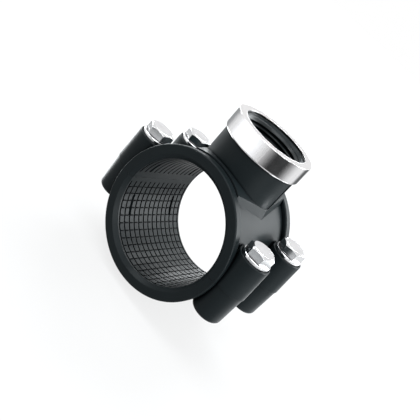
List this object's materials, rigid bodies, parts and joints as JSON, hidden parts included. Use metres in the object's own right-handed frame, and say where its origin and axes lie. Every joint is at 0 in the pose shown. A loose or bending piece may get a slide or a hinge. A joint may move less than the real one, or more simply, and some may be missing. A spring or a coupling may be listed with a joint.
{
  "type": "tapping saddle",
  "caption": "Clamp saddle for a water pipe: two moulded half shells held by side bolts, with a threaded branch in a steel reinforcing ring.",
  "frame": {"origin": "centre of the pipe bore, half way along it, under the middle of the branch", "axes": "+Y along the pipe, +Z out of the branch, X across towards the bolts"},
  "size_m": [0.1014, 0.0598, 0.0997],
  "materials": {
    "body": "satin moulded polypropylene",
    "ring": "polished stainless steel",
    "seal": "matt rubber",
    "bolts": "bright zinc plated steel",
    "washers": "bright zinc plated steel",
    "nuts": "bright zinc plated steel"
  },
  "bodies": {
    "upper_half": {"upper_saddle": "body", "reinforcing_ring": "ring", "outlet_gasket": "seal", "washer_front_right": "washers", "washer_rear_right": "washers", "washer_front_left": "washers", "washer_rear_left": "washers"},
    "lower_half": {"lower_saddle": "body", "nut_front_right": "nuts", "nut_rear_right": "nuts", "nut_front_left": "nuts", "nut_rear_left": "nuts"},
    "front_right_bolt": {"bolt_front_right": "bolts"},
    "rear_right_bolt": {"bolt_rear_right": "bolts"},
    "front_left_bolt": {"bolt_front_left": "bolts"},
    "rear_left_bolt": {"bolt_rear_left": "bolts"}
  },
  "joints": [
    {"name": "front_right_bolt_turn", "type": "hinge", "parent": "upper_half", "child": "front_right_bolt", "pos_m": [0.0411, -0.018, 0.02065], "axis": [0, 0, 1], "range_deg": [0, 1440]},
    {"name": "rear_right_bolt_turn", "type": "hinge", "parent": "upper_half", "child": "rear_right_bolt", "pos_m": [0.0411, 0.018, 0.02065], "axis": [0, 0, 1], "range_deg": [0, 1440]},
    {"name": "front_left_bolt_turn", "type": "hinge", "parent": "upper_half", "child": "front_left_bolt", "pos_m": [-0.0411, -0.018, 0.02065], "axis": [0, 0, 1], "range_deg": [0, 1440]},
    {"name": "rear_left_bolt_turn", "type": "hinge", "parent": "upper_half", "child": "rear_left_bolt", "pos_m": [-0.0411, 0.018, 0.02065], "axis": [0, 0, 1], "range_deg": [0, 1440]},
    {"name": "halves_opening", "type": "slide", "parent": "upper_half", "child": "lower_half", "axis": [0, 0, -1], "range_m": [0, 0.005]}
  ],
  "couplings": [
    {"joint": "rear_right_bolt_turn", "follows": "front_right_bolt_turn", "ratio": 1},
    {"joint": "front_left_bolt_turn", "follows": "front_right_bolt_turn", "ratio": 1},
    {"joint": "rear_left_bolt_turn", "follows": "front_right_bolt_turn", "ratio": 1},
    {"joint": "halves_opening", "follows": "front_right_bolt_turn", "m_per_rad": 0.00019894}
  ]
}
